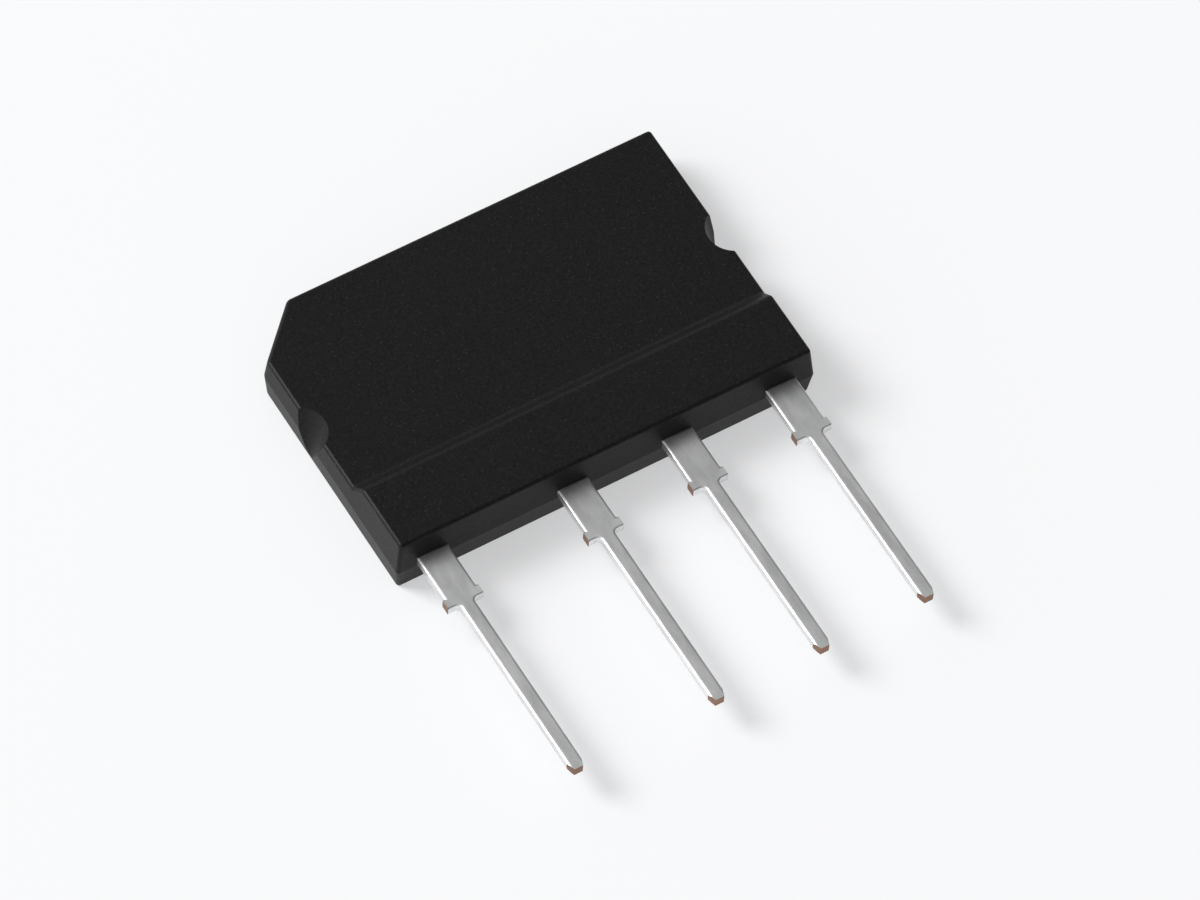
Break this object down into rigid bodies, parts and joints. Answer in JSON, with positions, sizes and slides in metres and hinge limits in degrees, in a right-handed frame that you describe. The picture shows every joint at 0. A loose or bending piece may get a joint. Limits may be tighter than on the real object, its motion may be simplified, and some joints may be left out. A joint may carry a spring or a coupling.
{
  "type": "bridge rectifier",
  "caption": "Flat moulded single-in-line bridge rectifier with a stepped front, a cut corner, side notches and straight tinned leads.",
  "frame": {"origin": "middle of the flat back face, on the body's centre lines", "axes": "+Y up the body, away from the leads; +Z out of the front face; +X along the body from the plus lead to the minus lead"},
  "size_m": [0.03, 0.0375, 0.0046],
  "materials": {
    "moulding_compound": "near-black epoxy moulding compound, fine matt grain",
    "tinned_copper": "copper sheet, solder-dipped outside the body, satin grey",
    "silicon": "metallised silicon, dark grey",
    "solder": "soft solder, dull grey",
    "bare_copper": "formed copper strip, satin"
  },
  "bodies": {
    "root": {"moulded_body": "moulding_compound", "plus_terminal": "tinned_copper", "first_input_terminal": "tinned_copper", "second_input_terminal": "tinned_copper", "minus_terminal": "tinned_copper", "upper_left_die": "silicon", "upper_right_die": "silicon", "lower_left_die": "silicon", "lower_right_die": "silicon", "upper_left_die_solder": "solder", "upper_right_die_solder": "solder", "lower_left_die_solder": "solder", "lower_right_die_solder": "solder", "upper_left_contact_solder": "solder", "upper_right_contact_solder": "solder", "lower_left_contact_solder": "solder", "lower_right_contact_solder": "solder", "left_foot_solder": "solder", "right_foot_solder": "solder", "minus_foot_solder": "solder", "left_input_link": "bare_copper", "right_input_link": "bare_copper", "minus_link": "bare_copper"}
  },
  "joints": []
}
